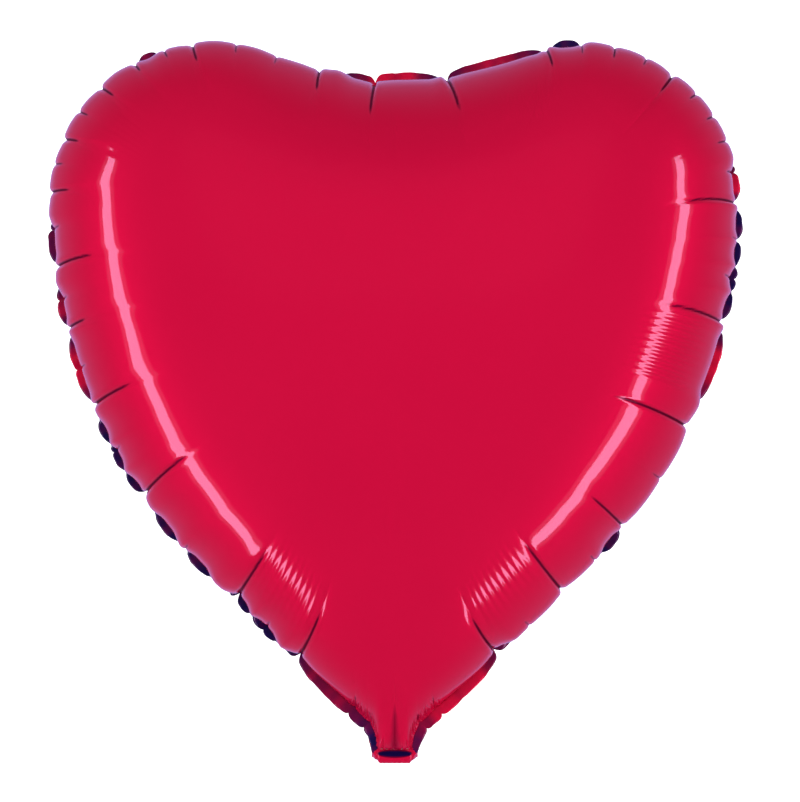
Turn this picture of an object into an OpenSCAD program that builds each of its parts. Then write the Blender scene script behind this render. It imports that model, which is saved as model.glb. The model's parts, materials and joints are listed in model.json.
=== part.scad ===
// Heart-shaped foil balloon, inflated, with its filling tail folded up behind it.
// The heart lies in the XZ plane and faces -Y. The origin is on the seam plane, at the
// bottom of the neck, where a ribbon is tied and where the tail folds. Millimetres.
//
// Each foil panel is one skin: a pillow-shaped dome that ends in a flat flange. The two
// panels are heat sealed together round the rim, and the seal is gathered in puckers. A
// flat self-sealing valve of two clear films hangs inside and leaves through the tail.

/* [Heart] */
// Half the distance between the centres of the two lobes
lobe_x = 105; // [85:1:130]
// Radius of each lobe along the weld line
lobe_r = 88; // [72:1:108]
// Depth of the dip between the lobes
dip_depth = 19; // [14:1:26]
// Angle between the straight lower sides and the vertical
side_angle = 45; // [40:1:50]
// Depth of the inflated heart, front to back
body_depth = 168; // [120:1:205]

/* [Foil and rim] */
// Drawn thickness of the foil film
foil_t = 0.4; // [0.3:0.05:0.6]
// Width of the flat flange outside the weld line
flange_w = 6; // [4:0.5:9]
// Thickness of the fused layer between the two flanges
seal_t = 0.4; // [0.3:0.05:0.6]
// Width of the heat seal
seal_w = 4.5; // [3:0.5:6]
// How far each pucker draws the rim inwards
pucker = 4; // [0:0.5:6]

/* [Neck and tail] */
// Half width of the neck between its two side welds
neck_half = 10; // [8:0.5:13]
// Height at which the heart's straight sides would meet the neck
neck_rise = 10; // [8:0.5:20]
// Radius of the curve from the heart into the neck
neck_fillet = 20; // [12:1:26]
// Length of the flat neck between the gas and the fold
land_len = 3.5; // [2:0.5:8]
// Outer radius of the rounded fold
fold_r = 4; // [3:0.25:6]
// Angle of the folded tail from the vertical
fold_angle = 44; // [40:1:70]
// Length of the tail beyond the fold
tail_len = 58; // [45:1:75]
// Radius of the punched hole in the tail
hole_r = 3; // [2:0.25:4]
// Height of the hole above the tail's open end
hole_up = 8; // [6:1:12]

/* [Valve] */
// Thickness of each valve film
film_t = 0.15; // [0.1:0.01:0.15]
// Width of the valve films
valve_w = 16; // [12:1:19]
// Length of the valve inside the balloon
valve_len = 95; // [60:1:130]
// Width of the seal along each edge of the valve
valve_seal_w = 2; // [1:0.5:3]

/* [Hidden] */

foil_red = [0.76, 0.05, 0.20];
clear_film = [0.93, 0.94, 0.96];
print_blue = [0.62, 0.74, 0.88];

// Outline of the weld line: dip, lobe, side, straight and neck, each an arc or a line.
arc_steps = 48;                      // points on each arc of the outline
neck_end = 1;                        // height of the straight edge that closes the neck
side_x = 0.9 * lobe_x;               // each side's arc is centred this far across the middle
side_r = lobe_x + side_x + lobe_r;
side_end_x = side_r * cos(side_angle) - side_x;
lobe_z = neck_rise + side_r * sin(side_angle) + (side_end_x - neck_half) / tan(side_angle);
dip_rise = lobe_r - dip_depth;       // bottom of the dip above the lobes' centres
dip_r = (dip_rise * dip_rise + lobe_x * lobe_x - lobe_r * lobe_r) / (2 * dip_depth);
dip_centre = [0, lobe_z + dip_rise + dip_r];
dip_angle = atan2(lobe_x, dip_rise + dip_r);          // half angle that the dip's arc spans
fillet_r = min(neck_fillet, (neck_rise - neck_end) / tan(side_angle / 2));
fillet_z = neck_rise - fillet_r * tan(side_angle / 2);

// Points of an arc round a centre, from one angle to another.
function arc(centre, r, from, to, n = arc_steps) = [
    for (i = [0:n]) let (a = from + (to - from) * i / n) centre + r * [cos(a), sin(a)]
];

// Right half of the weld line, from the bottom of the dip to the corner of the neck.
half_line = concat(
    arc(dip_centre, dip_r, -90, -90 + dip_angle),
    arc([lobe_x, lobe_z], lobe_r, 90 + dip_angle, 0),
    arc([-side_x, lobe_z], side_r, 0, -side_angle),
    arc([neck_half + fillet_r, fillet_z], fillet_r, 180 - side_angle, 180),
    [[neck_half, neck_end]]
);

// Distance run along a path at each of its points.
function run_lengths(p, i = 0, sum = 0) =
    i == len(p) ? []
    : let (s = i == 0 ? 0 : sum + norm(p[i] - p[i - 1])) concat([s], run_lengths(p, i + 1, s));

half_run = run_lengths(half_line);
half_length = half_run[len(half_run) - 1];
x_table = [for (i = [0:len(half_line) - 1]) [half_run[i], half_line[i][0]]];
z_table = [for (i = [0:len(half_line) - 1]) [half_run[i], half_line[i][1]]];

// A point of the weld line, and the way out of the heart there. side is 1 or -1.
function line_point(share, side) =
    let (s = share * half_length) [side * lookup(s, x_table), lookup(s, z_table)];
function line_out(share, side) =
    let (e = 0.004, a = line_point(max(0, share - e), side), b = line_point(min(1, share + e), side),
         d = (b - a) / norm(b - a))
    share == 0 ? [0, 1] : side * [-d[1], d[0]];

// Puckers, as shares of the way down each side from the dip to the neck.
right_puckers = [0, 0.05, 0.145, 0.2, 0.265, 0.33, 0.4, 0.51, 0.61, 0.715, 0.795, 0.88, 1];
left_puckers = [0, 0.07, 0.19, 0.245, 0.285, 0.34, 0.39, 0.455, 0.51, 0.585, 0.68, 0.805, 0.885, 1];
stations_per_puff = 6;

// Stations down one side: [share, fullness], with fullness 0 at a pucker and 1 between two.
function side_stations(puckers) = [
    for (k = [0:len(puckers) - 2], i = [0:stations_per_puff - 1])
        let (u = i / stations_per_puff)
        [puckers[k] + (puckers[k + 1] - puckers[k]) * u, pow(sin(180 * u), 0.7)]
];
right_side = side_stations(right_puckers);
left_side = side_stations(left_puckers);

// One entry for each spoke of the skin: [rim point, way out, fullness, edge of the flange].
function spoke(station, side) =
    let (p = line_point(station[0], side), out = line_out(station[0], side))
    [p, out, station[1], p + flange_w * out];
function corner(side) = [
    [side * neck_half, neck_end], [side, 0], 1, [side * (neck_half + flange_w), 0]
];
first_corner = len(right_side);
last_corner = first_corner + 4;
spokes = concat(
    [for (s = right_side) spoke(s, 1)],
    [corner(1)],
    [for (x = [neck_half / 2, 0, -neck_half / 2]) [[x, neck_end], [0, -1], 1, [x, 0]]],
    [corner(-1)],
    [for (i = [len(left_side) - 1:-1:1]) spoke(left_side[i], -1)]
);
n_spokes = len(spokes);
rim = [for (s = spokes) s[0]];

// Smooth height field. reach() is pi over the boundary integral of 1 / distance squared:
// it grows like the distance from the rim, and like a soap film's bulge in the middle.
function seen_from(p, a, b) =
    let (u = a - p, v = b - p, w = b - a,
         cross_uv = abs(u[0] * v[1] - u[1] * v[0]), gap = cross_uv / norm(w))
    gap < 0.0001 ? norm(w) / (norm(u) * norm(v)) * 180 / PI
    : atan2(cross_uv, u * v) / gap;
function total(v, i = 0, sum = 0) = i == len(v) ? sum : total(v, i + 1, sum + v[i]);
function reach(p) =
    180 / total([for (i = [0:n_spokes - 1]) seen_from(p, rim[i], rim[(i + 1) % n_spokes])]);

// The heart is fullest in its upper part, and thins out towards the neck.
taper_start = 10;
taper_length = 75;
function fullness(z) = 1 - exp(-(z + taper_start) / taper_length);

rings = 12;                          // rings of the skin from its middle to its rim
middle = [0, 0.7 * lobe_z];          // the spokes meet here
pucker_power = 11;                   // a higher power keeps the puckers closer to the rim
ring_share = [for (i = [0:rings]) sin(90 * i / rings)];

flat_grid = [for (i = [0:rings - 1]) [
    for (j = [0:n_spokes - 1]) middle + ring_share[i] * (rim[j] - middle)
]];
raw_height = [for (i = [0:rings - 1]) [
    for (p = i == 0 ? [middle] : flat_grid[i]) sqrt(fullness(p[1]) * reach(p))
]];
tallest = max([for (row = raw_height) max(row)]);
dome_height = body_depth / 2 - foil_t - seal_t / 2;

// Taut foil stands fuller than an ellipse does: steeper at the rim and flatter in the middle.
function taut(e) = e * (1 + 0.6 * e * (1 - e));
function height(i, j) =
    i == rings ? 0 : dome_height * taut(raw_height[i][i == 0 ? 0 : j] / tallest);
function drawn_in(i, j) = pucker * (1 - spokes[j][2]) * pow(ring_share[i], pucker_power);

// Outer face of the skin at ring i and spoke j. It stands off the seam plane at its rim.
skin_base = seal_t / 2 + foil_t;
function skin_xz(i, j) = (i == rings ? rim[j] : flat_grid[i][j]) - drawn_in(i, j) * spokes[j][1];
outer_grid = [for (i = [0:rings]) [
    for (j = [0:n_spokes - 1])
        let (p = skin_xz(i, j)) [p[0], -(skin_base + height(i, j)), p[1]]
]];
function unit(v) = v / norm(v);
function outer_normal(i, j) =
    i == 0 ? [0, -1, 0]
    : let (a = outer_grid[i - 1][j], b = outer_grid[min(i + 1, rings)][j],
           c = outer_grid[i][(j + n_spokes - 1) % n_spokes], d = outer_grid[i][(j + 1) % n_spokes])
      unit(cross(d - c, b - a));

// The rings of one whole skin: outer face, flange, and back along the inner face.
function flange_edge(depth) = [
    for (j = [0:n_spokes - 1])
        let (s = spokes[j], p = s[3] - drawn_in(rings, j) * s[1]) [p[0], -depth, p[1]]
];
weld_inside = [
    for (j = [0:n_spokes - 1])
        let (p = skin_xz(rings, j) - foil_t * spokes[j][1]) [p[0], -seal_t / 2, p[1]]
];
skin_rings = concat(
    [for (i = [1:rings]) outer_grid[i]],
    [flange_edge(skin_base), flange_edge(seal_t / 2), weld_inside],
    [for (i = [rings - 1:-1:1]) [
        for (j = [0:n_spokes - 1]) outer_grid[i][j] - foil_t * outer_normal(i, j)
    ]]
);

// A closed skin from rings of n points each, capped by one point at either end.
module ringed_skin(rows, first, last, n) {
    points = concat([first], [for (r = rows) each r], [last]);
    end = len(points) - 1;
    function at(i, j) = 1 + i * n + j % n;
    polyhedron(points, concat(
        [for (j = [0:n - 1]) [0, at(0, j), at(0, j + 1)]],
        [for (i = [0:len(rows) - 2], j = [0:n - 1]) each [
            [at(i, j), at(i + 1, j), at(i + 1, j + 1)],
            [at(i, j), at(i + 1, j + 1), at(i, j + 1)]
        ]],
        [for (j = [0:n - 1]) [end, at(len(rows) - 1, j + 1), at(len(rows) - 1, j)]]
    ));
}

module panel() {
    top = skin_base + height(0, 0);
    ringed_skin(skin_rings, [middle[0], -top, middle[1]],
                [middle[0], -(top - foil_t), middle[1]], n_spokes);
}

module front_panel() {
    color(foil_red) panel();
}

module rear_panel() {
    color(foil_red) mirror([0, 1, 0]) panel();
}

// The fused band between the flanges. It is open at the neck, where the valve passes.
band_order = [for (j = [0:n_spokes - last_corner + first_corner]) (last_corner + j) % n_spokes];
function band_edge(offset) = [
    for (j = band_order)
        let (s = spokes[j]) s[0] + (offset - drawn_in(rings, j)) * s[1]
];
module rim_seal() {
    inner = band_edge(-foil_t);
    last = len(inner) - 1;
    color(foil_red)
        translate([0, seal_t / 2, 0]) rotate([90, 0, 0]) linear_extrude(seal_t)
            polygon(concat(band_edge(seal_w), [for (i = [last:-1:0]) inner[i]]));
}

// Every film leaves the neck, runs down the land, goes round the fold and on into the tail.
// In the stack, the front foil is on the outside of the fold. y is where a layer starts.
stack_t = 2 * foil_t + seal_t;       // two foils and the seal between them
fold_centre = [0, fold_r - stack_t / 2, -land_len];
fold_turn = 180 - fold_angle;        // from straight down, back and up to the folded tail
tail_trim = 0.5;                     // the tail is cut this much narrower than the flange
tail_half = neck_half + flange_w - tail_trim;

front_foil_y = -stack_t / 2;
rear_foil_y = seal_t / 2;
front_film_y = -seal_t / 2;
rear_film_y = seal_t / 2 - film_t;
valve_gap = seal_t - 2 * film_t;     // room between the two valve films

// The tail creases along the middle of its front foil, where that foil's edge is rounded.
// The fold stops short of the crease, so that it's clear of the tail when the tail hangs.
hinge_y = front_foil_y + foil_t / 2;
hang_clear = 0.2;
crease_y = (fold_centre[1] - hinge_y) * cos(fold_angle);      // behind the fold's centre
fold_end = acos((crease_y - foil_t / 2 - hang_clear) / fold_r);

// A flat strip in the plane of the neck, from height z_low to z_high.
module strip(width, z_low, z_high, y, thickness, x = 0) {
    translate([x - width / 2, y, z_low]) cube([width, thickness, z_high - z_low]);
}

// The same strip's way down the land and round the fold.
module bent_strip(width, y, thickness, x = 0) {
    outer = fold_centre[1] - y;
    strip(width, -land_len, 0, y, thickness, x);
    translate([x - width / 2, fold_centre[1], fold_centre[2]])
        rotate([90, 0, 90]) rotate([0, 0, 180])
            rotate_sector(outer - thickness, outer, 180 - fold_end, width);
}

// Part of a tube round the Z axis, turning anticlockwise from the X axis.
module rotate_sector(inner, outer, angle, length) {
    rotate_extrude(angle = angle, $fn = 180) translate([inner, 0]) square([outer - inner, length]);
}

// Both edges of a flat strip, as two narrower strips.
module for_edges(width, edge_w) {
    for (side = [-1, 1]) {
        $edge_x = side * (width - edge_w) / 2;
        children();
    }
}

// Valve: two clear films, sealed to each other along both edges.
module valve_film(y) {
    strip(valve_w, 0, valve_len, y, film_t);
    bent_strip(valve_w, y, film_t);
}

module valve_front_film() {
    color(clear_film) valve_film(front_film_y);
}

module valve_rear_film() {
    color(clear_film) valve_film(rear_film_y);
}

module valve_edge_seals() {
    color(clear_film) for_edges(valve_w, valve_seal_w) {
        strip(valve_seal_w, 0, valve_len, -valve_gap / 2, valve_gap, $edge_x);
        bent_strip(valve_seal_w, -valve_gap / 2, valve_gap, $edge_x);
    }
}

// Release print: a coat inside the channel that keeps the heat seal from closing it.
print_t = 0.04;
print_len = 30;
print_margin = 0.5;                  // bare film left between the print and each edge seal
module valve_release_print() {
    color(print_blue)
        strip(valve_w - 2 * (valve_seal_w + print_margin), 0, print_len, -valve_gap / 2, print_t);
}

// The land and the fold: the two foils, sealed along both edges.
film_gap = 1;                        // room between a valve film and the foils' edge seal
edge_w = tail_half - valve_w / 2 - film_gap;
module fold_front_foil() {
    color(foil_red) bent_strip(2 * tail_half, front_foil_y, foil_t);
}

module fold_rear_foil() {
    color(foil_red) bent_strip(2 * tail_half, rear_foil_y, foil_t);
}

module fold_edge_seals() {
    color(foil_red) for_edges(2 * tail_half, edge_w)
        bent_strip(edge_w, -seal_t / 2, seal_t, $edge_x);
}

// Tail: drawn hanging down from the fold's centre, then swung up to its folded place.
tail_corner_r = 5;
hole_margin = 5;                     // the inlet films stop this far short of the hole
inlet_len = tail_len - hole_up - hole_r - hole_margin;

module folded() {
    translate(fold_centre) rotate([fold_turn, 0, 0]) translate([0, -fold_centre[1], 0])
        children();
}

// Plan of the tail, with rounded lower corners and the punched hole.
module tail_plan() {
    difference() {
        union() {
            translate([-tail_half, -tail_len + tail_corner_r])
                square([2 * tail_half, tail_len - tail_corner_r]);
            for (side = [-1, 1])
                translate([side * (tail_half - tail_corner_r), -tail_len + tail_corner_r])
                    circle(tail_corner_r, $fn = 48);
            translate([-tail_half + tail_corner_r, -tail_len])
                square([2 * (tail_half - tail_corner_r), 2 * tail_corner_r]);
        }
        translate([0, -tail_len + hole_up]) circle(hole_r, $fn = 64);
    }
}

module tail_foil(y) {
    translate([0, y + foil_t, 0]) rotate([90, 0, 0]) linear_extrude(foil_t) tail_plan();
}

module tail_front_foil() {
    color(foil_red) folded() {
        tail_foil(front_foil_y);
        translate([-tail_half, hinge_y, 0]) rotate([0, 90, 0])
            cylinder(r = foil_t / 2, h = 2 * tail_half, $fn = 48);
    }
}

module tail_rear_foil() {
    color(foil_red) folded() tail_foil(rear_foil_y);
}

module tail_edge_seals() {
    color(foil_red) folded() for_edges(2 * tail_half, edge_w)
        strip(edge_w, tail_corner_r - tail_len, 0, -seal_t / 2, seal_t, $edge_x);
}

module inlet_front_film() {
    color(clear_film) folded() strip(valve_w, -inlet_len, 0, front_film_y, film_t);
}

module inlet_rear_film() {
    color(clear_film) folded() strip(valve_w, -inlet_len, 0, rear_film_y, film_t);
}

front_panel();
rear_panel();
rim_seal();
valve_front_film();
valve_rear_film();
valve_edge_seals();
valve_release_print();
fold_front_foil();
fold_rear_foil();
fold_edge_seals();
tail_front_foil();
tail_rear_foil();
tail_edge_seals();
inlet_front_film();
inlet_rear_film();
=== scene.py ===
# %% [markdown]
# # A heart-shaped foil balloon
# Two sheets of metallised film are welded together round a heart, and gas blows them up into a
# taut cushion. Film can't stretch, so the rim has to gather: it folds into short, sharp creases
# with smooth puffs between them, and the flat weld outside the rim buckles into small scallops.
# All of that can be worked out from the rim inwards, so the foil is made here as a surface from
# formulas. The sizes are the same as in the model's frame.

import bpy
import json
import math
import numpy as np
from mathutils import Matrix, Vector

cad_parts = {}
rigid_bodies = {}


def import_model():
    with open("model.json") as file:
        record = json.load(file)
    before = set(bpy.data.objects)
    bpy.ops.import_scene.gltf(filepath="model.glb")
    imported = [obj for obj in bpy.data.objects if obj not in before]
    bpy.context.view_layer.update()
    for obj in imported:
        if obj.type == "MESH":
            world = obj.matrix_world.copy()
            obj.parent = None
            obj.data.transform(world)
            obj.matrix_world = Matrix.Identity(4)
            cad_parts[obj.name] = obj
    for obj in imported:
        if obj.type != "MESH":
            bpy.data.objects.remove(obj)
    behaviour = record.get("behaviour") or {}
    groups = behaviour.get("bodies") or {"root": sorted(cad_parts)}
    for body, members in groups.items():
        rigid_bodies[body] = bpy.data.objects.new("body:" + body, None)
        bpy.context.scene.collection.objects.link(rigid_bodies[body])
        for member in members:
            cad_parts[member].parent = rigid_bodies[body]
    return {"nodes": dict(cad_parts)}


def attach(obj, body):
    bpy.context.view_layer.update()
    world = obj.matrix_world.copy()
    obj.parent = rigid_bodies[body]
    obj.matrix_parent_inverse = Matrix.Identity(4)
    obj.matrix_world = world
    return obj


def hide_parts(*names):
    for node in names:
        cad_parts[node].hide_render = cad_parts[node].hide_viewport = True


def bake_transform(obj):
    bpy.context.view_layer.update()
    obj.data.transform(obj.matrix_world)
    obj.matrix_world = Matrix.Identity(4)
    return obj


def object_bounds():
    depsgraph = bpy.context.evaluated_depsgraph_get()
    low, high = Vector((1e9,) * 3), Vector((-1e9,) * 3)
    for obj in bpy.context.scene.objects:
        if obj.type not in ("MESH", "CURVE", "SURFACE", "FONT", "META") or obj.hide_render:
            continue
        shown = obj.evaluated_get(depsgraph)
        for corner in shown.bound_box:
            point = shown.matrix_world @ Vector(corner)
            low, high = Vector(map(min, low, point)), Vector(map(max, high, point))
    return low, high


for thing in list(bpy.data.objects):
    bpy.data.objects.remove(thing)
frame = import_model()
cad_low, cad_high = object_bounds()
MM = 0.001
print("frame box in mm:", [round(v / MM, 1) for v in (*cad_low, *cad_high)])

# %% [markdown]
# ## The camera
# The balloon is seen straight on, from the front, with a long lens, so both lobes keep their true
# shape. The camera is made first, so every later render shows the same view. The lens follows
# from the distance and the width of the field that has to fit in the frame.

# %% Camera
field_height = 458.2 * MM          # what the frame's long side spans at the balloon
camera_distance = 2.3
camera_right, camera_up = 3 * MM, 0.5 * MM
camera_data = bpy.data.cameras.new("camera")
camera = bpy.data.objects.new("camera", camera_data)
bpy.context.scene.collection.objects.link(camera)
camera_data.sensor_width = 36
camera_data.lens = 36 * camera_distance / field_height
camera.location = (camera_right, -camera_distance, (cad_low.z + cad_high.z) / 2 + camera_up)
camera.rotation_euler = (math.radians(90), 0, 0)
bpy.context.scene.camera = camera
bpy.context.scene.view_settings.view_transform = "Standard"
print("lens", round(camera_data.lens), "mm at", camera_distance, "m")

# %% [markdown]
# ## The weld line
# The heart's outline is a chain of arcs: a shallow dip, a round lobe, a long side, a straight run
# and a small curve into the neck. A point on it is found by its distance along the rim from the
# bottom of the dip, first down the right side, then across the neck, then up the left side.

# %% Outline of the weld
lobe_x, lobe_r, dip_depth = 105.0, 88.0, 19.0
side_angle = math.radians(45)
neck_half, neck_rise, neck_end = 10.0, 10.0, 1.0
side_x = 0.9 * lobe_x
side_r = lobe_x + side_x + lobe_r
side_end_x = side_r * math.cos(side_angle) - side_x
lobe_z = (neck_rise + side_r * math.sin(side_angle)
          + (side_end_x - neck_half) / math.tan(side_angle))
dip_rise = lobe_r - dip_depth
dip_r = (dip_rise**2 + lobe_x**2 - lobe_r**2) / (2 * dip_depth)
dip_angle = math.atan2(lobe_x, dip_rise + dip_r)
fillet_r = (neck_rise - neck_end) / math.tan(side_angle / 2)


def arc(centre, r, start, end, n=300):
    a = np.linspace(start, end, n)
    return np.c_[centre[0] + r * np.cos(a), centre[1] + r * np.sin(a)]


half = math.pi / 2
half_line = np.vstack([
    arc((0, lobe_z + dip_rise + dip_r), dip_r, -half, dip_angle - half),
    arc((lobe_x, lobe_z), lobe_r, half + dip_angle, 0),
    arc((-side_x, lobe_z), side_r, 0, -side_angle),
    arc((neck_half + fillet_r, neck_end), fillet_r, math.pi - side_angle, math.pi),
])
half_line = half_line[np.r_[True, np.hypot(*np.diff(half_line, axis=0).T) > 1e-6]]
half_run = np.r_[0, np.cumsum(np.hypot(*np.diff(half_line, axis=0).T))]
side_length = half_run[-1]
rim_length = 2 * side_length + 2 * neck_half


def rim_point(s):
    """Points of the weld line at distances s along the rim, in mm."""
    s = np.mod(np.asarray(s, float), rim_length)
    left = s > side_length + 2 * neck_half
    down = np.where(left, rim_length - s, np.minimum(s, side_length))
    x = np.interp(down, half_run, half_line[:, 0])
    z = np.interp(down, half_run, half_line[:, 1])
    x = np.where(left, -x, x)
    across = (s > side_length) & ~left
    x = np.where(across, neck_half - (s - side_length), x)
    return np.c_[x, z]


def rim_out(s, reach=0.4):
    """The way out of the heart at distances s along the rim."""
    d = rim_point(s + reach) - rim_point(s - reach)
    d /= np.hypot(*d.T)[:, None]
    return np.c_[-d[:, 1], d[:, 0]]


print("weld line", round(rim_length), "mm long; lobes at z", round(lobe_z, 1))

# %% [markdown]
# ## Where the rim gathers
# Each crease has a place down its side (as a share of the way from the dip to the neck), a length
# into the heart, and a strength. The long, strong creases divide the rim into puffs. The lobes
# curve most, so there the film gathers more, in short creases close together.

# %% Creases
right_creases = [
    (0.048, 27, 1.0), (0.143, 15, 0.8), (0.175, 8, 0.35), (0.205, 9, 0.5),
    (0.235, 8, 0.4), (0.263, 16, 0.9), (0.290, 8, 0.5), (0.315, 8, 0.5), (0.340, 8, 0.45),
    (0.368, 7, 0.4), (0.397, 37, 1.0), (0.430, 6, 0.25), (0.465, 7, 0.3), (0.507, 39, 1.0),
    (0.607, 47, 1.0), (0.660, 7, 0.25), (0.715, 29, 0.8), (0.755, 6, 0.25), (0.796, 36, 0.9),
    (0.840, 6, 0.25), (0.879, 31, 1.0), (0.955, 8, 0.3), (0.975, 7, 0.3),
]
left_creases = [
    (0.018, 23, 0.9), (0.070, 16, 0.8), (0.112, 6, 0.3), (0.150, 7, 0.35), (0.189, 13, 0.7),
    (0.215, 7, 0.45), (0.244, 8, 0.7), (0.281, 12, 0.8), (0.310, 8, 0.5), (0.338, 12, 0.8),
    (0.362, 7, 0.4), (0.387, 13, 0.7), (0.420, 7, 0.35), (0.455, 25, 1.0), (0.485, 6, 0.3),
    (0.512, 13, 0.9), (0.550, 6, 0.25), (0.586, 30, 1.0), (0.632, 6, 0.25), (0.679, 36, 1.0),
    (0.742, 6, 0.25), (0.806, 33, 1.0), (0.845, 6, 0.25), (0.885, 31, 1.0), (0.955, 8, 0.3),
    (0.975, 7, 0.3),
]
creases = sorted(
    [(share * side_length, length, strength) for share, length, strength in right_creases]
    + [(rim_length - share * side_length, length, strength)
       for share, length, strength in left_creases]
)
crease_at = np.array([c[0] for c in creases])
crease_length = np.array([c[1] for c in creases], float)
crease_strength = np.array([c[2] for c in creases])


def slant(s, inwards):
    """Creases lean a little: how far along the rim a crease has moved, this far inwards."""
    right = np.interp(s / side_length, (0, 0.12, 0.3, 0.5, 0.6), (0.3, 0.15, -0.1, -0.22, -0.05))
    left = np.interp((rim_length - s) / side_length, (0, 0.1, 0.3), (-0.1, 0.1, 0.2))
    return inwards * np.where(s > side_length, left, right)


print(len(creases), "creases; the longest", crease_length.max(), "mm")

# %% [markdown]
# Between some creases the film also shows a row of fine ribs, 4.5 mm apart, which break a
# highlight into beads. Each row has a start and an end down its side, and says how high its ribs
# stand compared with a usual row.

# %% Rows of fine ribs
rib_pitch = 4.5
rib_rows = [
    (0.075 * side_length, 0.140 * side_length, 0.6),
    (0.509 * side_length, 0.585 * side_length, 6.5),
    (0.798 * side_length, 0.876 * side_length, 1.5),
    (rim_length - 0.884 * side_length, rim_length - 0.808 * side_length, 1.5),
    (rim_length - 0.335 * side_length, rim_length - 0.285 * side_length, 0.4),
]


def rib_share(s):
    """How high the ribs stand at distances s along the rim, compared with a usual row."""
    share = np.zeros_like(s)
    for start, end, amount in rib_rows:
        inside = np.clip(np.minimum(s - start, end - s) / 5, 0, 1)
        share = np.maximum(share, amount * inside * inside * (3 - 2 * inside))
    return share


print(len(rib_rows), "rows of ribs,", rib_pitch, "mm apart")

# %% [markdown]
# ## Stations round the rim
# The mesh needs a point every third of a millimetre across a crease, and far fewer elsewhere.
# So the stations are spread by how much there is to show: the spacing is written down for
# every place, and the stations are set evenly along its running sum.

# %% Stations
STATIONS = 1664                      # divides by 32, so the mesh can be halved inwards


def to_crease(s):
    """Distance along the rim from s to the nearest crease, either way."""
    gap = np.abs(s[:, None] - crease_at[None])
    return np.minimum(gap, rim_length - gap)


fine = np.arange(0, rim_length, 0.1)
spacing = np.minimum(1.7, 0.3 + 0.24 * to_crease(fine).min(axis=1))
spacing = np.minimum(spacing, 1.7 - 1.2 * np.minimum(rib_share(fine), 1))
spacing = np.where(np.abs(fine - side_length - neck_half) < neck_half + 32, 0.35, spacing)
running = np.r_[0, np.cumsum(0.1 / spacing)]
stations = np.interp(np.arange(STATIONS) / STATIONS * running[-1],
                     running, np.append(fine, rim_length))
corner = np.abs(stations[:, None] - [[side_length, side_length + 2 * neck_half]])
stations[corner.argmin(axis=0)] = [side_length, side_length + 2 * neck_half]
print("stations", STATIONS, "wanted", round(running[-1]))

# %% [markdown]
# ## Lines from the rim to the middle
# Each station sends a line into the heart. It leaves square to the rim, so that a crease can run
# along it, and then bends to the middle. The points on it crowd towards the rim, because the
# foil stands almost upright there and flattens quickly.

# %% Lines
middle = np.array([0, 0.7 * lobe_z])
BAND_RINGS = 40
BAND_WIDTH = 62.0                    # mm from the rim that holds every crease and rib
inner_shares = np.array([0.06, 0.13, 0.21, 0.30, 0.40, 0.51, 0.63, 0.76, 0.88])
halve_at = {0, 2, 4, 5, 6}           # after these inner rings every other station is dropped

rim = rim_point(stations)
out = rim_out(stations)
across_neck = (stations >= side_length) & (stations <= side_length + 2 * neck_half)
from_neck = np.minimum(np.abs(stations - side_length),
                       np.abs(stations - side_length - 2 * neck_half))
room = (np.abs(rim[:, 0]) + 8) / np.maximum(np.abs(out[:, 0]), 0.05)
straight = np.minimum(np.minimum(60, 0.5 * room), 0.6 + 9 * (from_neck / 30) ** 2)
towards_middle = np.where(across_neck, 1, np.exp(-from_neck / 5))[:, None]
first_turn = (rim - out * straight[:, None]) * (1 - towards_middle)
first_turn += (rim * [0.4, 1] + [0, 8]) * towards_middle
t = np.linspace(0, 1, 400)[:, None, None]
path = ((1 - t) ** 3 * rim + 3 * (1 - t) ** 2 * t * first_turn
        + 3 * (1 - t) * t**2 * (middle + 0.35 * (rim - middle)) + t**3 * middle)
step = np.r_[np.zeros((1, STATIONS)), np.cumsum(np.linalg.norm(np.diff(path, axis=0), axis=2), 0)]


def on_lines(distance):
    """Points at these distances (one per station) along the lines."""
    p = np.empty((STATIONS, 2))
    for j in range(STATIONS):
        p[j, 0] = np.interp(distance[j], step[:, j], path[:, j, 0])
        p[j, 1] = np.interp(distance[j], step[:, j], path[:, j, 1])
    return p


band = BAND_WIDTH * (np.arange(BAND_RINGS + 1) / BAND_RINGS) ** 2
rings = [(on_lines(np.full(STATIONS, q)), np.full(STATIONS, q), np.arange(STATIONS))
         for q in band]
kept = np.arange(STATIONS)
for i, share in enumerate(inner_shares):
    q = BAND_WIDTH + share * (step[-1] - BAND_WIDTH)
    rings.append((on_lines(q)[kept], q[kept], kept))
    if i in halve_at:
        kept = kept[::2]
print("rings", len(rings), "points", sum(len(r[2]) for r in rings) + 1)

# %% [markdown]
# ## How far the film stands out
# A taut skin over a flat outline rises quickly at the rim and flattens in the middle. Its height
# here grows with the square root of a smooth distance from the rim: the width of the rim seen
# from each point, weighted by nearness. The heart is fullest in its upper part.

# %% Height of the taut film
half_depth = cad_high.y / MM
weld_half = 0.2                      # the film meets the weld this far from the seam plane
edge = rim_point(np.arange(0, rim_length, 1.5))


def smooth_distance(p):
    near = np.empty(len(p))
    a, b = edge, np.roll(edge, -1, axis=0)
    length = np.linalg.norm(b - a, axis=1)
    for i in range(0, len(p), 4000):
        q = p[i : i + 4000, None]
        u, v = a - q, b - q
        cross = np.abs(u[..., 0] * v[..., 1] - u[..., 1] * v[..., 0])
        angle = np.arctan2(cross, (u * v).sum(-1))
        line = np.linalg.norm(u, axis=-1) * np.linalg.norm(v, axis=-1)
        beside = length / np.maximum(line, 1e-9)
        seen = np.where(cross > 1e-5, angle * length / np.maximum(cross, 1e-9), beside)
        near[i : i + 4000] = math.pi / seen.sum(axis=1)
    return near


def raw_height(p):
    fullness = 1 - np.exp(-(p[:, 1] + 10) / 75)
    return np.sqrt(np.maximum(fullness, 0) * smooth_distance(p))


column = np.c_[np.zeros(120), np.linspace(0.4, 0.95, 120) * lobe_z]
tallest = raw_height(column).max()


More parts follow.
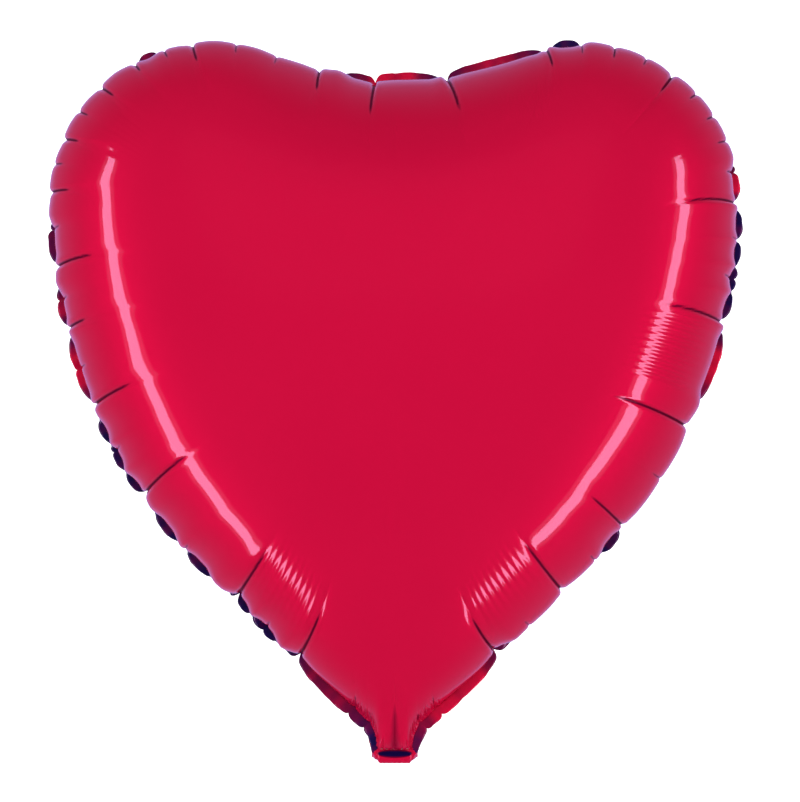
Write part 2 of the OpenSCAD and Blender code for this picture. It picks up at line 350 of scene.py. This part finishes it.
def height(p):
    e = np.minimum(raw_height(p) / tallest, 1)
    return (half_depth - weld_half) * e * (1 + 0.6 * e * (1 - e))


plan = np.vstack([r[0] for r in rings] + [middle[None]])
depth_in = np.concatenate([r[1] for r in rings] + [[step[-1].mean()]])
station_of = np.concatenate([r[2] for r in rings] + [[0]])
along = stations[station_of]
on_rim = np.arange(len(plan)) < STATIONS
rise = np.where(on_rim, 0, height(plan))
print("tallest point", round(rise.max() + weld_half, 1), "mm from the seam plane")

# %% [markdown]
# ## Faces
# The rings are joined by quads. Where a ring has half as many points as the one outside it, three
# triangles fill each gap.

# %% Faces of one foil
first = np.cumsum([0] + [len(r[2]) for r in rings])
faces = []
for i in range(len(rings) - 1):
    n, m = len(rings[i][2]), len(rings[i + 1][2])
    a, b = first[i], first[i + 1]
    if n == m:
        faces += [(a + j, a + (j + 1) % n, b + (j + 1) % n, b + j) for j in range(n)]
    else:
        for j in range(m):
            p, q, r = a + 2 * j, a + 2 * j + 1, a + (2 * j + 2) % n
            u, v = b + j, b + (j + 1) % m
            faces += [(p, q, u), (q, v, u), (q, r, v)]
n = len(rings[-1][2])
faces += [(first[-2] + j, first[-2] + (j + 1) % n, len(plan) - 1) for j in range(n)]


def plan_area(face):
    x, z = plan[list(face)].T
    return (x * np.roll(z, -1) - np.roll(x, -1) * z).sum() / 2


folded_over = sum(plan_area(f) > -1e-9 for f in faces)
print("faces", len(faces), "of which folded over in plan", folded_over)


def foil_normals(points):
    """Unit normals at the points of one foil, area-weighted over its faces."""
    total = np.zeros_like(points)
    for size in (3, 4):
        f = np.array([face for face in faces if len(face) == size])
        corners = points[f]
        if size == 3:
            c = np.cross(corners[:, 1] - corners[:, 0], corners[:, 2] - corners[:, 0])
        else:
            c = np.cross(corners[:, 2] - corners[:, 0], corners[:, 3] - corners[:, 1])
        for k in range(size):
            np.add.at(total, f[:, k], c)
    return total / np.linalg.norm(total, axis=1)[:, None]


# %% [markdown]
# ## Where the flat weld shows
# Outside the weld line the two films lie flat together, 6 mm wide. Most of this flange hides
# behind the swollen puffs. In a few stretches it stands straight out and shows as a crescent.
# Each stretch has a start and an end down its side, and a lit tone, which paints its light and
# shade into the colour: 0 where it turns away from the light and is painted navy, 1 where it
# catches the light and is painted red.

# %% Stretches of open flange
right_open = [
    (-0.045, 0.040, 0.95), (0.045, 0.140, 0.7), (0.150, 0.175, 0.0), (0.362, 0.393, 0.95),
    (0.402, 0.428, 0.05), (0.430, 0.452, 0.0), (0.454, 0.476, 0.0), (0.478, 0.503, 0.05),
    (0.515, 0.578, 0.95), (0.720, 0.745, 0.1), (0.865, 1.000, 0.95),
]
left_open = [
    (0.222, 0.240, 0.4), (0.415, 0.450, 0.3), (0.475, 0.508, 0.6), (0.520, 0.580, 0.9),
    (0.600, 0.622, 0.0), (0.626, 0.650, 0.0), (0.655, 0.678, 0.05), (0.700, 0.730, 0.05),
    (0.745, 0.775, 0.05), (0.800, 0.825, 0.0), (0.830, 0.860, 0.0), (0.875, 0.985, 0.5),
]
open_stretches = (
    [(a * side_length, b * side_length, tone) for a, b, tone in right_open]
    + [(rim_length - b * side_length, rim_length - a * side_length, tone)
       for a, b, tone in left_open]
)


def open_parts(s):
    """How open each stretch of flange is at distances s along the rim, one row a stretch."""
    s = np.mod(s + 0.1 * side_length, rim_length) - 0.1 * side_length
    return np.array([
        np.sqrt(np.clip(np.minimum(s - a, b - s) / (0.3 * (b - a)), 0, 1))
        for a, b, _ in open_stretches
    ])


def laid_back(s):
    """How far the puffs lie back from open flange, from 0 to 1, smooth from stretch to stretch."""
    s = np.mod(s + 0.1 * side_length, rim_length) - 0.1 * side_length
    share = np.zeros_like(s)
    for a, b, _ in open_stretches:
        inside = np.clip((np.minimum(s - a, b - s) + 6) / 12, 0, 1)
        share = np.maximum(share, min(1, (b - a) / 14) * inside * inside * (3 - 2 * inside))
    return share


print(len(open_stretches), "open stretches of flange")

# %% [markdown]
# ## Shaping the film
# The smooth cushion is now pushed in and out along its own normal, by a sum of small moves in mm.
# Each crease draws the rim in and cuts a narrow groove. The puffs on either side of it sit at
# slightly different heights, as the film tucks under itself. The ribs are a fine ripple, and the
# neck has a valley down the middle, where the flat valve inside holds the film back. The
# surface is worked out here, with no cloth simulation, because each crease has to fall at a
# chosen place.

# %% How far the puffs swell
def smooth(x):
    """0 up to x = 0, 1 from x = 1 on, and an even curve between."""
    x = np.clip(x, 0, 1)
    return x * x * (3 - 2 * x)


def bulge(s):
    """How far the film swells out over the weld at distances s along the rim, in mm. It is
    least in the last 75 mm above the neck."""
    down = np.where(s > side_length + 2 * neck_half, rim_length - s, np.minimum(s, side_length))
    return 6.5 - 5.5 * smooth((down - side_length + 75) / 70)


print("puffs swell", bulge(np.array([0.0, side_length])).round(1), "mm at the dip and the neck")


# %% Creases, puffs and ribs of one foil
pull_in, pull_reach = 3.6, 9.0       # mm that a crease or open flange draws the rim in, and how far


def shape_foil(seed, crease_reach):
    """Points of one foil in mm, facing -Y, and the painted shade at each: dark along creases and the
    neck valley (0 to 1).
    """
    chance = np.random.default_rng(seed)
    base = np.c_[plan[:, 0], -(weld_half + rise), plan[:, 1]]
    normal = foil_normals(base)
    if normal[-1, 1] > 0:
        normal = -normal
    normal[:STATIONS] = np.c_[out[:, 0], np.zeros(STATIONS), out[:, 1]]
    length = crease_length * crease_reach * chance.uniform(0.95, 1.15, len(creases))
    leaning = along - slant(along, depth_in)
    push = (1 - np.exp(-rise / 4)) * (
        bulge(along) * np.exp(-depth_in / 30)
        - pull_in * laid_back(along) * np.exp(-depth_in / pull_reach))
    shade = np.zeros(len(plan))
    # Each crease: the rim drawn in, a sharp groove, a low ridge on either side, and painted shade
    # along its floor.
    for k in range(len(creases)):
        b = leaning - crease_at[k]
        b -= rim_length * np.round(b / rim_length)
        b -= chance.uniform(-0.05, 0.05) * depth_in
        inward = 1 - depth_in / length[k]
        strength = crease_strength[k]
        fade = smooth(inward * 2.4) * (0.55 + 0.45 * np.clip(inward, 0, 1))
        push -= pull_in * strength * np.exp(-np.abs(b) / 6 - depth_in / pull_reach)
        groove = np.exp(-np.abs(b) / (0.55 + 0.25 * strength)) * fade
        push -= (0.6 + 0.7 * strength) * groove
        if strength > 0.85:
            push -= 0.3 * np.exp(-np.abs(b) / 1.5) * smooth((50 - depth_in) / 12)
        push += 0.35 * strength * np.exp(-((np.abs(b) - 2.6) / 1.8) ** 2) * fade
        dark = np.exp(-((b / (0.6 + 0.25 * strength)) ** 2)) * smooth(inward * 3.4)
        shade = np.maximum(shade, min(1, 0.35 + strength) * dark * smooth(depth_in / 2.5))
    # Each puff between strong creases tilts a little: one end stands out, the other tucks in.
    strong = np.flatnonzero(crease_strength >= 0.65)
    knots = crease_at[strong]
    tilt = chance.uniform(0.4, 0.7, len(strong))
    turn_width = 1.2 + (depth_in / 10) ** 2
    for k in range(len(strong)):
        start, end = knots[k], knots[(k + 1) % len(strong)]
        size = (end - start) % rim_length
        u = ((leaning - start) % rim_length) / size
        inside = u < 1
        ends = smooth(u * size / turn_width) * smooth((1 - u) * size / turn_width)
        saw = tilt[k] * (1 - 2 * u) * ends
        push += np.where(inside, saw * smooth((42 - depth_in) / 28), 0)
    # The rows of ribs, the crinkles round the neck, and the valley down its middle.
    ripple = np.cos(2 * math.pi * leaning / rib_pitch) * rib_share(leaning)
    push += 0.05 * ripple * smooth((depth_in - 6) / 14) * smooth((50 - depth_in) / 16)
    x, z = plan[:, 0], plan[:, 1]
    crinkle = np.cos(2 * math.pi * along / 2.9) + 0.5 * np.cos(2 * math.pi * along / 1.9 + seed)
    near_neck = smooth((34 - z) / 10) * smooth((np.abs(x) - 2) / 4) * (np.abs(x) < 40)
    push += 0.45 * crinkle * near_neck * smooth((9 - depth_in) / 6) * (1 - on_rim)
    valley = np.exp(-np.abs(x) / (2.2 + 0.05 * np.maximum(z, 0))) * smooth((52 - z) / 44)
    push -= 2.6 * valley * smooth(rise / 6)
    # Painted shade down the neck valley, widest at the bottom.
    valley_w = 0.6 + 3 * smooth((36 - z) / 36)
    shade = np.maximum(shade, 0.5 * np.exp(-((x / valley_w) ** 2)) * smooth((36 - z) / 18))
    return base + normal * push[:, None], shade


front_points, front_shade = shape_foil(3, 1.0)
rear_points, rear_shade = shape_foil(8, 0.9)
print("deepest point of the front foil", round(-front_points[:, 1].min(), 1), "mm out")


# %% The two foils
def make_piece(name, points, piece_faces, **values):
    """A smooth object from points in mm and faces. It keeps the named values at its points."""
    mesh = bpy.data.meshes.new(name)
    mesh.from_pydata((points * MM).tolist(), [], [tuple(map(int, f)) for f in piece_faces])
    mesh.update()
    for label, numbers in values.items():
        layer = mesh.attributes.new(label, "FLOAT", "POINT")
        layer.data.foreach_set("value", numbers.astype(np.float32))
    mesh.polygons.foreach_set("use_smooth", [True] * len(mesh.polygons))
    piece = bpy.data.objects.new(name, mesh)
    bpy.context.scene.collection.objects.link(piece)
    return piece


rear_faces = [f[::-1] for f in faces]
# The crease value at each point is the painted shade that the film's material reads.
front = make_piece("foil_front", front_points, faces, crease=front_shade)
rear = make_piece("foil_rear", rear_points * [1, -1, 1], rear_faces, crease=rear_shade)
for piece, node, slot in ((front, "front_panel", "foil_front"), (rear, "rear_panel", "foil_rear")):
    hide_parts(node)
    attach(piece, "heart")
print("front foil", len(front.data.vertices), "points")

# %% [markdown]
# ## The weld flange
# The flange is both films fused flat. It can't shrink with the gathered rim, so it buckles like
# the edge of a lettuce leaf. Here it is a thin closed strip that starts on the two rims. It
# leans a little backwards where the puffs hide it, and lies flat in the open stretches.

# %% Flange
flange_w, flange_t = 6.0, 0.35
across = np.array([0, 0.5, 1.1, 1.9, 2.8, 3.8, 4.9, 6.0]) / 6.0
side_stations = np.flatnonzero((stations <= side_length) | (stations >= side_length + 2 * neck_half))
start_at = np.flatnonzero(stations[side_stations] >= side_length + 2 * neck_half)[0]
side_stations = np.roll(side_stations, -start_at)      # up the left side, then down the right
s_side = stations[side_stations]
chance = np.random.default_rng(21)
open_rows = open_parts(s_side)
openness = open_rows.max(axis=0)
wave = sum(
    size * np.sin(2 * math.pi * s_side / pitch + turn)
    for size, pitch, turn in zip((0.5, 0.35, 0.25), (23, 11.5, 7.3), chance.uniform(0, 6.3, 3))
)
lean = (1 - openness) * (0.42 + 0.22 * wave) + openness * 0.16 * wave
to_neck = np.minimum(np.abs(s_side - side_length), np.abs(s_side - side_length - 2 * neck_half))
lean *= smooth(to_neck / 12)
width = (flange_w + 0.5) * (0.72 + 0.28 * openness + 0.05 * wave)
width -= (1.8 * crease_strength * np.exp(-to_crease(s_side) / 1.6)).max(axis=1)
width *= 0.8 + 0.2 * smooth(to_neck / 8)
# Painted light and shade on the flange: open stretches take their lit tone, strongest in the middle
# of each, with the buckling's wave added; the rest gets a low tone.
tones = np.array([tone for _, _, tone in open_stretches])
tone = np.where(openness > 0, tones[open_rows.argmax(axis=0)], 0.25)
tone = np.clip(tone * (0.25 + 0.75 * openness**4) + 0.12 * wave, 0, 1)

front_rim = front_points[side_stations]
rear_rim = rear_points[side_stations] * [1, -1, 1]
root = (front_rim + rear_rim) / 2
away = np.c_[out[side_stations, 0], np.zeros(len(s_side)), out[side_stations, 1]]
back = np.array([0, 1.0, 0])
loops = []
for share in across:
    angle = lean * (0.4 + 0.6 * share)
    point = root + (away * np.cos(angle)[:, None] + back * np.sin(angle)[:, None]) * (
        width * share)[:, None]
    facing = away * np.sin(angle)[:, None] - back * np.cos(angle)[:, None]
    half_t = 0.2 if share == 0 else flange_t / 2
    loops.append((point + facing * half_t, point - facing * half_t))
order = [pair[0] for pair in loops] + [pair[1] for pair in loops[::-1]]
count, turns = len(s_side), len(order)
flange_points = np.vstack(order)
flange_faces = []
for i in range(turns):
    a, b = i * count, (i + 1) % turns * count
    flange_faces += [(a + j, b + j, b + j + 1, a + j + 1) for j in range(count - 1)]
flange_faces += [tuple(i * count for i in range(turns))]
flange_faces += [tuple(i * count + count - 1 for i in reversed(range(turns)))]
rim_weld = make_piece("rim_weld", flange_points, flange_faces, tone=np.tile(tone, turns),
                      along=np.tile(s_side, turns))
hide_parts("rim_seal")
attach(rim_weld, "heart")
print("flange", count, "stations,", round(openness.mean() * 100), "% open")

# %% [markdown]
# ## Neck, fold and tail
# Under the neck the two foils run on flat for a few millimetres, turn back in a rounded fold
# and rise behind the heart as the filling tail, which is welded along both edges and ends in a
# punched hole. Each foil is cut here as one flat strip, with the hole in it, filled with small
# triangles, and then laid along that path. The gathers from the neck carry on into it as pleats.

# %% Flat strip with its hole
from mathutils import Vector
from mathutils.geometry import delaunay_2d_cdt

tail_trim = 0.5                      # the tail is cut this much narrower than the flange
tail_half = neck_half + flange_w - tail_trim
tuck, land_len, tail_len = 1.0, 3.5, 58.0
fold_mid_r, fold_turn = 3.4, math.radians(136)
hole_r, hole_up, corner_r = 3.0, 8.0, 5.0
valve_half = 8.0                     # the clear valve inside is 16 mm wide
fold_run = fold_mid_r * fold_turn
strip_len = tuck + land_len + fold_run + tail_len
hole_centre = (0.0, strip_len - hole_up)

outline = [(-tail_half, v) for v in np.arange(0, strip_len - corner_r, 0.7)]
turn = np.linspace(0, half, 8)
outline += [(-tail_half + corner_r * (1 - math.cos(a)), strip_len - corner_r * (1 - math.sin(a)))
            for a in turn]
outline += [(u, strip_len) for u in np.arange(-tail_half + corner_r + 0.8, 0, 0.8)]
outline += [(0.0, strip_len)]
outline += [(-u, v) for u, v in outline[-2::-1]]
outline += [(u, 0.0) for u in np.arange(tail_half - 0.7, -tail_half + 0.4, -0.7)]
ring = [(hole_centre[0] + hole_r * math.cos(a), hole_centre[1] + hole_r * math.sin(a))
        for a in np.linspace(0, 2 * math.pi, 48, endpoint=False)]
inside = [(u, v) for u in np.arange(-tail_half + 0.5, tail_half - 0.2, 0.6)
          for v in np.arange(0.5, strip_len - 0.4, 0.6)
          if math.hypot(u, v - hole_centre[1]) > hole_r + 0.35
          and (v < strip_len - corner_r or abs(u) < tail_half - corner_r
               or math.hypot(abs(u) - tail_half + corner_r, v - strip_len + corner_r)
               < corner_r - 0.4)]
flat_points = [Vector(p) for p in outline + ring + inside]
edges = [(i, (i + 1) % len(outline)) for i in range(len(outline))]
edges += [(len(outline) + i, len(outline) + (i + 1) % len(ring)) for i in range(len(ring))]
flat_verts, _, flat_faces, *_ = delaunay_2d_cdt(flat_points, edges, [], 0, 1e-4)
flat = np.array([tuple(v) for v in flat_verts])
flat_faces = [f for f in flat_faces if math.hypot(*(flat[list(f)].mean(axis=0) - hole_centre))
              > hole_r * 0.99]
loop = np.array(outline)


def inside_outline(p):
    """True where p is inside the strip's outline."""
    a, b = loop, np.roll(loop, -1, axis=0)
    over = (a[:, 1] > p[1]) != (b[:, 1] > p[1])
    level = np.where(over, b[:, 1] - a[:, 1], 1)
    at = a[:, 0] + (p[1] - a[:, 1]) / level * (b[:, 0] - a[:, 0])
    return (over & (p[0] < at)).sum() % 2 == 1


flat_faces = [f for f in flat_faces if inside_outline(flat[list(f)].mean(axis=0))]
print("flat strip", round(2 * tail_half), "x", round(strip_len, 1), "mm,", len(flat_faces), "faces")


# %% The strip laid along its path
def tail_sheet(name, side, nodes):
    """side is -1 for the foil outside the fold and 1 for the one inside it."""
    u, v = flat.T
    arc_v = np.clip(v - tuck - land_len, 0, fold_run) / fold_mid_r
    rest = np.maximum(v - tuck - land_len - fold_run, 0)
    down = np.minimum(v, tuck + land_len)
    y = fold_mid_r * (1 - np.cos(arc_v)) + rest * math.sin(fold_turn)
    z = tuck - down - fold_mid_r * np.sin(arc_v) - rest * math.cos(fold_turn)
    normal_y, normal_z = -np.cos(arc_v), -np.sin(arc_v)
    pinch = 0.85 + 0.15 * smooth((v - 16) / 16)
    welded = smooth((np.abs(u) * pinch - valve_half - 0.3) / 2)
    gap = (0.62 + 0.5 * smooth(rest / 20)) * (1 - welded) + 0.16 * welded
    gap *= 0.3 + 0.7 * smooth(v / 2.2)
    over_fold = np.exp(-((v - tuck - land_len - 0.45 * fold_run) / 4.5) ** 2)
    pleats = np.cos(2 * math.pi * u / 3.3 + 0.4) + 0.6 * np.cos(2 * math.pi * u / 2.1 + v / 6)
    pleat_size = (0.08 + 0.2 * welded) * np.exp(-np.maximum(v - 9, 0) / 9) * smooth(v / 3)
    tail_wave = np.sin(v / 5.5 + u / 9) + 0.6 * np.sin(v / 2.9 - u / 4 + 1)
    lift = pleat_size * pleats + 0.3 * welded * tail_wave * smooth(rest / 10)
    lift -= side * gap
    curl = 5 * over_fold * np.clip((np.abs(u) * pinch - valve_half - 0.3) / 5, 0, 1) ** 1.3
    points = np.c_[u * pinch, y + normal_y * lift, z + normal_z * lift + curl]
    turned = flat_faces if side < 0 else [f[::-1] for f in flat_faces]
    # Painted shadow: a lens just under the neck where the fold opens, stored as crease values up to
    # 2 so the film paints it navy.
    lens = np.sqrt(np.maximum(1 - (u / 11.5) ** 2, 0))
    shadow = smooth(1.4 - 1.4 * np.abs(v - tuck - 1.7) / (0.2 + 2.7 * lens)) * smooth(lens * 3)
    piece = make_piece(name, points, turned, crease=2 * shadow)
    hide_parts(*nodes)
    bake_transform(piece)
    return piece


tail_front = tail_sheet("tail_foil_front", -1, ["fold_front_foil", "tail_front_foil",
                                                "fold_edge_seals"])
tail_rear = tail_sheet("tail_foil_rear", 1, ["fold_rear_foil", "tail_rear_foil",
                                             "tail_edge_seals"])
print("tail foils", len(tail_front.data.vertices), "points each")

# %% [markdown]
# ## Flat sizes of the film
# Every foil was cut flat. The heart is a 457 mm (18 inch) heart before it is blown up, and the
# tail is a strip as wide as the neck and its welds.

print("tail strip", round(2 * tail_half, 1), "x", round(strip_len, 1), "mm flat")

# %% [markdown]
# ## Making materials
# A colour is written as the screen shows it and turned into linear light. One small function
# adds a node, sets its inputs and makes its links.


# %% Helpers for materials
def linear(code):
    parts = [int(code[i : i + 2], 16) / 255 for i in (1, 3, 5)]
    parts = [c / 12.92 if c <= 0.04045 else ((c + 0.055) / 1.055) ** 2.4 for c in parts]
    return (*parts, 1.0)


def add(tree, kind, inputs=(), **settings):
    """Adds a node. inputs maps an input's name or number to a value, or to a socket to link."""
    node = tree.nodes.new(kind)
    for key, value in settings.items():
        setattr(node, key, value)
    for key, value in dict(inputs).items():
        if isinstance(value, bpy.types.NodeSocket):
            tree.links.new(value, node.inputs[key])
        else:
            node.inputs[key].default_value = value
    return node


def new_material(name):
    material = bpy.data.materials.new(name)
    material.use_nodes = True
    material.node_tree.nodes.clear()
    return material, material.node_tree


def finish_material(tree, shader):
    add(tree, "ShaderNodeOutputMaterial", {"Surface": shader.outputs[0]})


# %% [markdown]
# ## Metallised film
# The foil is clear polyester film with a red lacquer and a very thin coat of aluminium. The
# lacquered metal gives a soft, deep red glow: a part metallic, rough base. The clear film over it
# is the coat: it gives sharp pink lines of light, and a pale violet edge where it turns away.
# Creases hide their floor from the light, and that shade is painted: the colour goes dark and the
# coat fades along each crease and down the neck valley, and a navy lens of painted shadow marks
# where the fold opens under the neck.
# The finest dents are 6 mm apart and 0.03 mm deep, as in any drawn film.


# %% Red metallised film
def metallised_film(name, red, warm_red, crease_shade_colour):
    material, tree = new_material(name)
    place = add(tree, "ShaderNodeTexCoord")
    # The crease value is painted shade: up to 1 it darkens crease floors and the neck valley, above
    # 1 it paints the navy shadow lens where the fold opens.
    crease = add(tree, "ShaderNodeAttribute", attribute_name="crease")
    cloud = add(tree, "ShaderNodeTexNoise",
                {"Vector": place.outputs["Object"], "Scale": 1 / 0.11, "Detail": 2.0})
    tint = add(tree, "ShaderNodeMix", {"Factor": cloud.outputs["Fac"], 6: linear(red),
                                       7: linear(warm_red)}, data_type="RGBA")
    fold = add(tree, "ShaderNodeMapRange", {"Value": crease.outputs["Fac"], "From Min": 0.15,
                                            "From Max": 0.75, "To Max": 0.97})
    colour = add(tree, "ShaderNodeMix", {"Factor": fold.outputs["Result"],
                                         6: tint.outputs[2], 7: linear(crease_shade_colour)},
                 data_type="RGBA")
    # Painted shadow: crease values above 1 turn the colour navy, the dark lens under the neck.
    fold_shadow = add(tree, "ShaderNodeMapRange", {"Value": crease.outputs["Fac"], "From Min": 1.0,
                                              "From Max": 1.7})
    colour = add(tree, "ShaderNodeMix", {"Factor": fold_shadow.outputs["Result"],
                                         6: colour.outputs[2], 7: linear("#12083C")},
                 data_type="RGBA")
    # Painted shade: the coat fades where the crease value paints a crease dark.
    shine = add(tree, "ShaderNodeMapRange", {"Value": fold.outputs["Result"], "To Min": 1.0,
                                             "To Max": 0.08})
    rough = add(tree, "ShaderNodeMapRange", {"Value": cloud.outputs["Fac"], "To Min": 0.42,
                                             "To Max": 0.48})
    orange_peel = add(tree, "ShaderNodeTexNoise",
                      {"Vector": place.outputs["Object"], "Scale": 1 / 0.006, "Detail": 1.0})
    dent = add(tree, "ShaderNodeBump", {"Strength": 0.25, "Distance": 0.00003,
                                        "Height": orange_peel.outputs["Fac"]})
    shader = add(tree, "ShaderNodeBsdfPrincipled", {
        "Base Color": colour.outputs[2], "Metallic": 0.3, "Specular IOR Level": 0.0,
        "Roughness": rough.outputs["Result"],
        "Coat Weight": shine.outputs["Result"], "Coat Roughness": 0.05, "Coat IOR": 1.5,
        "Normal": dent.outputs["Normal"]})
    finish_material(tree, shader)
    return material


# The last colour in each is the painted shade for crease floors.
red_film = metallised_film("metallised_film_front", "#CE073B", "#D40C3E", "#5E0428")
rear_film = metallised_film("metallised_film_rear", "#CC083B", "#D30E3E", "#5E0428")
front.data.materials.append(red_film)
rear.data.materials.append(rear_film)
tail_front.data.materials.append(red_film)
tail_rear.data.materials.append(rear_film)
print("red film on", front.name, rear.name, tail_front.name, tail_rear.name)

# %% [markdown]
# ## Welded film
# In the flange the two films are fused under a hot, finely ribbed bar. It shines the same, and its
# light and shade are painted into the colour: navy where it faces a dark part of the room, red
# where it turns to the light. How the flange buckles sets which: each stretch's lit tone picks a
# colour from a ramp. The bar's ribs are 0.8 mm apart.

# %% Welded film
weld_film, tree = new_material("welded_film")
tone_in = add(tree, "ShaderNodeAttribute", attribute_name="tone")
along_in = add(tree, "ShaderNodeAttribute", attribute_name="along")
# Painted light and shade: navy for flange turned from the light, red for flange turned to it.
shades = add(tree, "ShaderNodeValToRGB", {"Fac": tone_in.outputs["Fac"]})
shades.color_ramp.elements[0].color = linear("#1B0D4C")
shades.color_ramp.elements[1].color = linear("#DC0E3E")
middle_tone = shades.color_ramp.elements.new(0.45)
middle_tone.color = linear("#7C0A3E")
ribs = add(tree, "ShaderNodeMath", {0: along_in.outputs["Fac"], 1: 2 * math.pi / 0.8},
           operation="MULTIPLY")
rib_wave = add(tree, "ShaderNodeMath", {0: ribs.outputs[0]}, operation="SINE")
dent = add(tree, "ShaderNodeBump", {"Strength": 0.5, "Distance": 0.00005,
                                    "Height": rib_wave.outputs[0]})
shader = add(tree, "ShaderNodeBsdfPrincipled", {
    "Base Color": shades.outputs["Color"], "Metallic": 0.3, "Specular IOR Level": 0.0,
    "Roughness": 0.4, "Coat Weight": 1.0, "Coat Roughness": 0.08, "Coat IOR": 1.5,
    "Normal": dent.outputs["Normal"]})
finish_material(tree, shader)
rim_weld.data.materials.append(weld_film)
print("welded film on", rim_weld.name)

# %% [markdown]
# ## The valve inside
# The valve is two strips of clear polyethylene with a printed release coat between them. It
# stays hidden in the neck, so its CAD pieces are kept and only given their real finish.

# %% Valve film and release print
valve_film, tree = new_material("clear_polyethylene")
place = add(tree, "ShaderNodeTexCoord")
haze = add(tree, "ShaderNodeTexNoise", {"Vector": place.outputs["Object"], "Scale": 1 / 0.012})
rough = add(tree, "ShaderNodeMapRange", {"Value": haze.outputs["Fac"], "To Min": 0.15,
                                         "To Max": 0.3})
shader = add(tree, "ShaderNodeBsdfPrincipled", {
    "Base Color": linear("#EEF1F4"), "Roughness": rough.outputs["Result"], "IOR": 1.51,
    "Transmission Weight": 0.6})
finish_material(tree, shader)
release_print, tree = new_material("release_print")
place = add(tree, "ShaderNodeTexCoord")
dots = add(tree, "ShaderNodeTexVoronoi", {"Vector": place.outputs["Object"], "Scale": 1 / 0.0008})
tint = add(tree, "ShaderNodeMix", {"Factor": dots.outputs["Distance"], 6: linear("#9FBCE0"),
                                   7: linear("#C4D6EC")}, data_type="RGBA")
shader = add(tree, "ShaderNodeBsdfPrincipled", {"Base Color": tint.outputs[2],
                                                "Roughness": 0.7})
finish_material(tree, shader)
for node in ("valve_front_film", "valve_rear_film", "valve_edge_seals", "inlet_front_film",
             "inlet_rear_film", "valve_release_print"):
    kept_mesh = frame["nodes"][node].data
    kept_mesh.materials.clear()
    kept_mesh.materials.append(release_print if node == "valve_release_print" else valve_film)
print("kept CAD pieces finished:", valve_film.name, "and", release_print.name)

# %% [markdown]
# ## Light and room
# A mirror shows its room, so the room is part of the finish. Two tall, narrow softboxes stand
# far out on either side and a little low: each draws one bright line down the puffs, and the
# paler spill round it softens the line's edges. In the mirrored room the camera's side is dark,
# which keeps the middle a deep red, and the far side is pale violet, which edges the rim.

# %% Lights
centre = Vector((0, 0, 0.2))
strip_distance, strip_side = 2.0, math.radians(66)
strip_low = math.radians(-12.5)
softboxes = (("strip_softbox", 0.26, 19, "#F8CBFF"), ("strip_spill", 0.48, 4.2, "#FFBCE4"))


def softbox(name, width, height, energy, colour, place):
    """A flat light that faces the balloon. The camera doesn't see it."""
    light = bpy.data.lights.new(name, "AREA")
    light.shape = "RECTANGLE"
    light.size, light.size_y = width, height
    light.energy = energy
    light.color = linear(colour)[:3]
    lamp = bpy.data.objects.new(name, light)
    bpy.context.scene.collection.objects.link(lamp)
    lamp.location = place
    lamp.rotation_euler = (centre - lamp.location).to_track_quat("-Z", "Y").to_euler()
    lamp.visible_camera = False
    return lamp


for name, strip_width, energy, colour in softboxes:
    for side in (-1, 1):
        towards = Vector((side * math.sin(strip_side) * math.cos(strip_low),
                          -math.cos(strip_side) * math.cos(strip_low), math.sin(strip_low)))
        softbox(name, strip_width, 3.1, energy, colour, centre + towards * strip_distance)
print(len(softboxes), "softboxes on each side,", strip_distance, "m away")

# %% Room
world = bpy.data.worlds.new("soft_room")
bpy.context.scene.world = world
world.use_nodes = True
tree = world.node_tree
room_direction = add(tree, "ShaderNodeTexCoord")
parts = add(tree, "ShaderNodeSeparateXYZ", {0: room_direction.outputs["Generated"]})
wall_glow, far_wall = (
    add(tree, "ShaderNodeMapRange", {"Value": parts.outputs["Y"], "From Min": start,
                                     "From Max": end, "To Max": share},
        interpolation_type="SMOOTHSTEP")
    for start, end, share in ((-0.2, 0.8, 0.4), (0.66, 0.97, 0.6)))
towards_wall = add(tree, "ShaderNodeMath", {0: wall_glow.outputs["Result"],
                                            1: far_wall.outputs["Result"]})
mirrored = add(tree, "ShaderNodeMix", {"Factor": towards_wall.outputs[0],
                                       6: linear("#3F3F45"), 7: linear("#B9B0FF")},
               data_type="RGBA")
seen_by = add(tree, "ShaderNodeLightPath")
plain = add(tree, "ShaderNodeMix", {"Factor": seen_by.outputs["Is Camera Ray"],
                                    6: linear("#8C8C8E"), 7: linear("#F0F0F1")},
            data_type="RGBA")
shown = add(tree, "ShaderNodeMix", {"Factor": seen_by.outputs["Is Glossy Ray"],
                                    6: plain.outputs[2], 7: mirrored.outputs[2]},
            data_type="RGBA")
tree.links.new(shown.outputs[2], tree.nodes["Background"].inputs["Color"])
print("room", world.name, "with", len(tree.nodes), "nodes")

# %% Fill lights
fill_energy = {-1: 61, 1: 22}        # watts in front and behind
for side in (-1, 1):
    lamp = softbox("fill", 2.2, 2.2, fill_energy[side], "#FFFFFF", (0, side * 2.6, 1.4))
    lamp.visible_glossy = False
print("fill lights of", *fill_energy.values(), "watts")


# %% Floor and wall
def panel(name, corners, colour, glow):
    """A flat sheet of matt paint that glows a little, so that it stays pale and even."""
    mesh = bpy.data.meshes.new(name)
    mesh.from_pydata(corners, [], [(0, 1, 2, 3)])
    piece = bpy.data.objects.new(name, mesh)
    bpy.context.scene.collection.objects.link(piece)
    material, tree = new_material(name + "_paint")
    shader = add(tree, "ShaderNodeBsdfPrincipled", {
        "Base Color": linear(colour), "Roughness": 0.9, "Emission Color": linear("#FFFFFF"),
        "Emission Strength": glow})
    finish_material(tree, shader)
    mesh.materials.append(material)
    piece.visible_glossy = False


reach, floor_z, wall_y, wall_top = 5, -1.8, 3.4, 3.5
panel("floor", [(-reach, -reach, floor_z), (reach, -reach, floor_z), (reach, wall_y, floor_z),
                (-reach, wall_y, floor_z)], "#E6E6E8", 0.35)
panel("backdrop", [(-reach, wall_y, floor_z), (reach, wall_y, floor_z),
                   (reach, wall_y, wall_top), (-reach, wall_y, wall_top)], "#F4F4F6", 0.9)
print("floor at z", floor_z, "m, wall at y", wall_y, "m")
